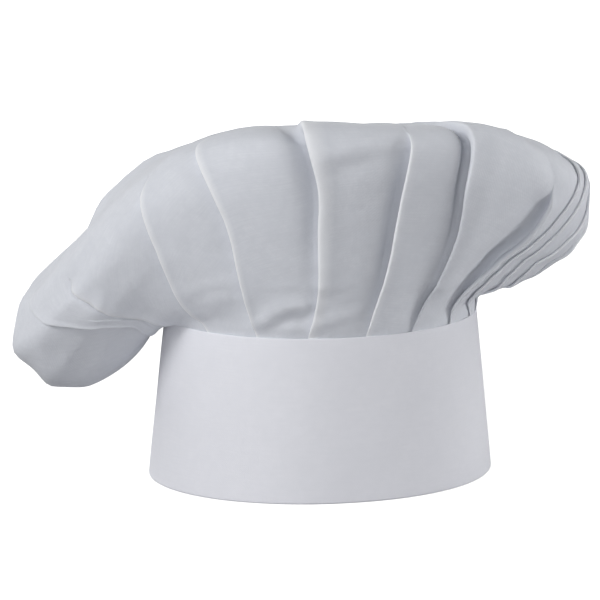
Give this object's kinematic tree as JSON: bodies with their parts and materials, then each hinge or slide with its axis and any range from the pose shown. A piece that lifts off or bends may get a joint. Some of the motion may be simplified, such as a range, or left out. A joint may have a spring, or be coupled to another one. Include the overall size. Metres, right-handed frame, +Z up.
{
  "type": "chef toque",
  "caption": "Floppy chef hat: a plain folded headband with a hook-and-loop closure at the rear and a soft knife-pleated crown drooping to one side.",
  "frame": {"origin": "centre of the head opening, in the plane of the headband's lower edge", "axes": "+Z up along the headband's axis; -Y is the front of the hat and +Y the rear, where the closure is; +X is the side the crown rises on (the wearer's left) and -X the side it droops on"},
  "size_m": [0.3186, 0.2483, 0.2111],
  "materials": {
    "twill": "white poly-cotton twill, matt with a slight bluish cast",
    "interlining": "bonded non-woven",
    "hook_tape": "moulded hooks, slight sheen",
    "loop_tape": "brushed loops, matt",
    "thread": "spun polyester thread, slight sheen",
    "label_satin": "blank woven satin"
  },
  "bodies": {
    "headband": {"headband": "twill", "headband_interlining": "interlining", "crown_seam_stitching": "thread", "loop_tape": "loop_tape", "loop_tape_stitching": "thread", "underlap_edge_stitching": "thread", "care_label_stitching": "thread", "opening_bartacks": "thread"},
    "crown": {"crown": "twill", "slit_bartack": "thread"},
    "closure_tab": {"closure_tab": "twill", "closure_tab_interlining": "interlining", "hook_tape": "hook_tape", "hook_tape_stitching": "thread", "closure_tab_edge_stitching": "thread"},
    "care_label": {"care_label": "label_satin"}
  },
  "joints": [
    {"name": "crown_flop", "type": "hinge", "parent": "headband", "child": "crown", "pos_m": [0, 0, 0.09], "axis": [0, 1, 0], "range_deg": [0, 10]},
    {"name": "closure_tab_peel", "type": "hinge", "parent": "headband", "child": "closure_tab", "pos_m": [0.04072, 0.08194, 0.045], "axis": [0.0443, 0.0891, -0.995], "range_deg": [0, 110]},
    {"name": "care_label_flap", "type": "hinge", "parent": "headband", "child": "care_label", "pos_m": [-0.08272, 0.02372, 0.062], "axis": [-0.2756, -0.9613, 0], "range_deg": [0, 90]}
  ]
}
